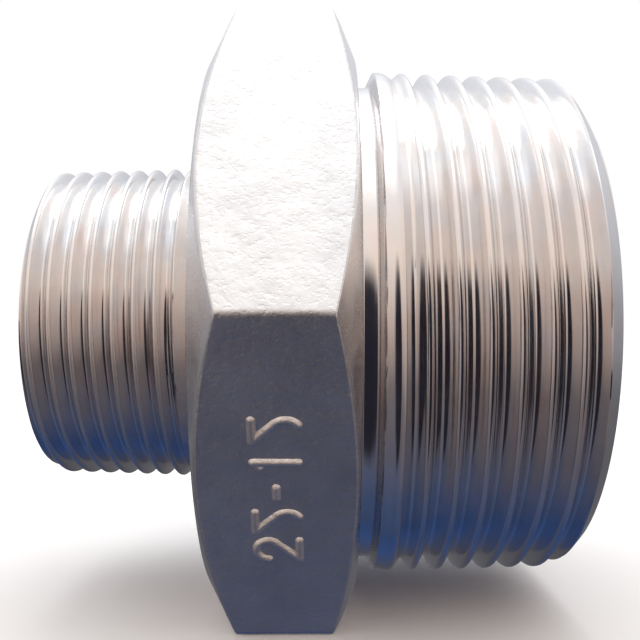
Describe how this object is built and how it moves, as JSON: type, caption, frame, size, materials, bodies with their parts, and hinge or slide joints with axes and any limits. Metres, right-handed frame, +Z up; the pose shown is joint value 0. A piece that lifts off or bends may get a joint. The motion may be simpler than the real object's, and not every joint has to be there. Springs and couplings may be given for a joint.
{
  "type": "hex nipple",
  "caption": "Reducing hex nipple: a cast hexagon between a larger and a smaller male taper thread, bored right through.",
  "frame": {"origin": "on the bore's axis, in the plane of the hexagon's shoulder on the large thread's side", "axes": "+X along the bore towards the large thread's open end, +Z up through a flat of the hexagon, a corner of the hexagon towards -Y"},
  "size_m": [0.0335, 0.0418, 0.0362],
  "materials": {
    "cast_steel": "investment-cast stainless steel, blasted and pickled matt",
    "turned_steel": "stainless steel, turned bright"
  },
  "bodies": {
    "root": {"hexagon": "cast_steel", "size_mark": "cast_steel", "large_relief": "turned_steel", "large_thread": "turned_steel", "small_relief": "turned_steel", "small_thread": "turned_steel"}
  },
  "joints": []
}
